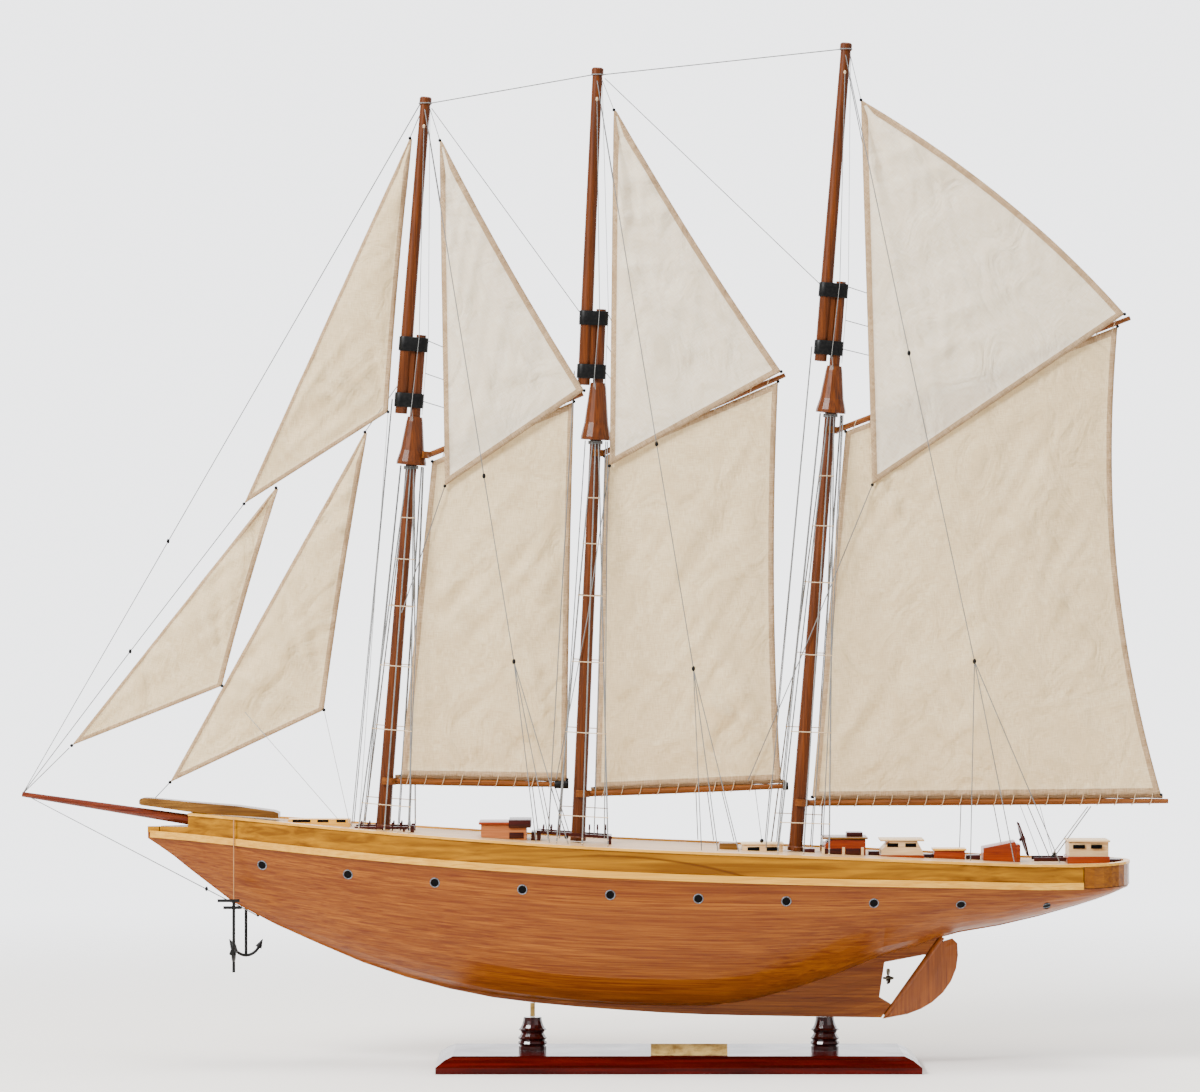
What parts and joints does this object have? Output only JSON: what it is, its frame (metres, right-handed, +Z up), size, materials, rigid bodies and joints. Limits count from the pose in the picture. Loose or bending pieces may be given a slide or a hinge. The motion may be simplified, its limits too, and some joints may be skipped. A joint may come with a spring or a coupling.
{
  "type": "display model sailing schooner",
  "caption": "Wooden gaff schooner display model with swinging booms and gaffs, jibs, rudder, propeller, ship's wheel and anchors, on a plinth with turned pedestals.",
  "frame": {"origin": "on the resting surface, below the middle of the model's overall box", "axes": "+X towards the stern, -Y to port, +Z up the masts"},
  "size_m": [0.9999, 0.1586, 0.8923],
  "materials": {
    "hull_mahogany": "satin varnished mahogany planking",
    "golden_bulwark_wood": "satin varnished golden wood",
    "pale_rail_wood": "satin varnished pale wood",
    "stern_wood": "satin varnished olive-brown wood",
    "deck_planking": "matt sealed planking",
    "spar_wood": "satin stained spar wood",
    "dark_red_wood": "satin dark red stained wood",
    "plinth_lacquer": "gloss red mahogany lacquer",
    "pedestal_wood": "gloss dark turned wood",
    "cream_wood": "matt pale unstained wood",
    "orange_wood": "satin red-orange stained wood",
    "brass": "satin aged brass",
    "blackened_iron": "satin black",
    "sailcloth": "matt unbleached cotton",
    "rigging_thread": "waxed grey thread"
  },
  "bodies": {
    "base": {"plinth": "plinth_lacquer", "nameplate": "brass", "fore_pedestal": "pedestal_wood", "aft_pedestal": "pedestal_wood", "support_rod": "brass", "hull": "hull_mahogany", "deck": "deck_planking", "port_bulwark": "golden_bulwark_wood", "starboard_bulwark": "golden_bulwark_wood", "port_strake": "pale_rail_wood", "starboard_strake": "pale_rail_wood", "stern_bulwark": "stern_wood", "cap_rail": "pale_rail_wood", "bow_platform": "golden_bulwark_wood", "bowsprit": "spar_wood", "fore_lower_mast": "spar_wood", "fore_topmast": "spar_wood", "fore_lower_cap_band": "blackened_iron", "fore_upper_cap_band": "blackened_iron", "main_lower_mast": "spar_wood", "main_topmast": "spar_wood", "main_lower_cap_band": "blackened_iron", "main_upper_cap_band": "blackened_iron", "mizzen_lower_mast": "spar_wood", "mizzen_topmast": "spar_wood", "mizzen_lower_cap_band": "blackened_iron", "mizzen_upper_cap_band": "blackened_iron", "fore_shrouds": "rigging_thread", "main_shrouds": "rigging_thread", "mizzen_shrouds": "rigging_thread", "fore_backstays": "rigging_thread", "main_backstays": "rigging_thread", "mizzen_backstays": "rigging_thread", "head_stays": "rigging_thread", "wheel_box": "orange_wood", "aft_cabin": "cream_wood", "after_deckhouse": "cream_wood", "midship_deckhouse": "orange_wood", "fore_cabin": "cream_wood", "main_pin_rail": "dark_red_wood"},
    "fore_boom_body": {"fore_boom": "spar_wood", "fore_sail": "sailcloth"},
    "fore_gaff_body": {"fore_gaff": "spar_wood", "fore_topsail": "sailcloth"},
    "main_boom_body": {"main_boom": "spar_wood", "main_sail": "sailcloth"},
    "main_gaff_body": {"main_gaff": "spar_wood", "main_topsail": "sailcloth"},
    "mizzen_boom_body": {"mizzen_boom": "spar_wood", "mizzen_sail": "sailcloth"},
    "mizzen_gaff_body": {"mizzen_gaff": "spar_wood", "mizzen_topsail": "sailcloth"},
    "jib_topsail_body": {"jib_topsail": "sailcloth"},
    "flying_jib_body": {"flying_jib": "sailcloth"},
    "inner_jib_body": {"inner_jib": "sailcloth"},
    "rudder_body": {"rudder": "stern_wood"},
    "propeller_body": {"propeller": "brass"},
    "wheel_body": {"steering_wheel": "dark_red_wood"},
    "port_anchor_body": {"port_anchor": "blackened_iron"},
    "starboard_anchor_body": {"starboard_anchor": "blackened_iron"}
  },
  "joints": [
    {"name": "fore_boom_swing", "type": "hinge", "parent": "base", "child": "fore_boom_body", "pos_m": [-0.1841, 0, 0.2064], "axis": [0.0783, 0, 0.9969], "range_deg": [-12, 12]},
    {"name": "fore_gaff_swing", "type": "hinge", "parent": "base", "child": "fore_gaff_body", "pos_m": [-0.1841, 0, 0.2064], "axis": [0.0783, 0, 0.9969], "range_deg": [-12, 12]},
    {"name": "main_boom_swing", "type": "hinge", "parent": "base", "child": "main_boom_body", "pos_m": [-0.014, 0, 0.1962], "axis": [0.044, 0, 0.999], "range_deg": [-12, 12]},
    {"name": "main_gaff_swing", "type": "hinge", "parent": "base", "child": "main_gaff_body", "pos_m": [-0.014, 0, 0.1962], "axis": [0.044, 0, 0.999], "range_deg": [-12, 12]},
    {"name": "mizzen_boom_swing", "type": "hinge", "parent": "base", "child": "mizzen_boom_body", "pos_m": [0.1752, 0, 0.1876], "axis": [0.0807, 0, 0.9967], "range_deg": [-12, 12]},
    {"name": "mizzen_gaff_swing", "type": "hinge", "parent": "base", "child": "mizzen_gaff_body", "pos_m": [0.1752, 0, 0.1876], "axis": [0.0807, 0, 0.9967], "range_deg": [-12, 12]},
    {"name": "jib_topsail_swing", "type": "hinge", "parent": "base", "child": "jib_topsail_body", "pos_m": [-0.3049, 0, 0.4895], "axis": [0.4155, 0, 0.9096], "range_deg": [-8, 8]},
    {"name": "flying_jib_swing", "type": "hinge", "parent": "base", "child": "flying_jib_body", "pos_m": [-0.455, 0, 0.279], "axis": [0.6234, 0, 0.7819], "range_deg": [-8, 8]},
    {"name": "inner_jib_swing", "type": "hinge", "parent": "base", "child": "inner_jib_body", "pos_m": [-0.3693, 0, 0.247], "axis": [0.4884, 0, 0.8726], "range_deg": [-8, 8]},
    {"name": "rudder_turn", "type": "hinge", "parent": "base", "child": "rudder_body", "pos_m": [0.25237, 0, 0.04072], "axis": [0.5784, 0, 0.8157], "range_deg": [-30, 30]},
    {"name": "propeller_spin", "type": "hinge", "parent": "base", "child": "propeller_body", "pos_m": [0.2562, 0, 0.0765], "axis": [1, 0, 0], "continuous": true},
    {"name": "wheel_spin", "type": "hinge", "parent": "base", "child": "wheel_body", "pos_m": [0.3735, 0, 0.1976], "axis": [0.9563, 0, 0.2924], "continuous": true},
    {"name": "port_anchor_swing", "type": "hinge", "parent": "base", "child": "port_anchor_body", "pos_m": [-0.3115, -0.02916, 0.2171], "axis": [-1, 0, 0], "range_deg": [0, 20]},
    {"name": "starboard_anchor_swing", "type": "hinge", "parent": "base", "child": "starboard_anchor_body", "pos_m": [-0.3055, 0.03097, 0.21662], "axis": [1, 0, 0], "range_deg": [0, 20]}
  ],
  "couplings": [
    {"joint": "fore_gaff_swing", "follows": "fore_boom_swing", "ratio": 1},
    {"joint": "main_gaff_swing", "follows": "main_boom_swing", "ratio": 1},
    {"joint": "mizzen_gaff_swing", "follows": "mizzen_boom_swing", "ratio": 1}
  ]
}
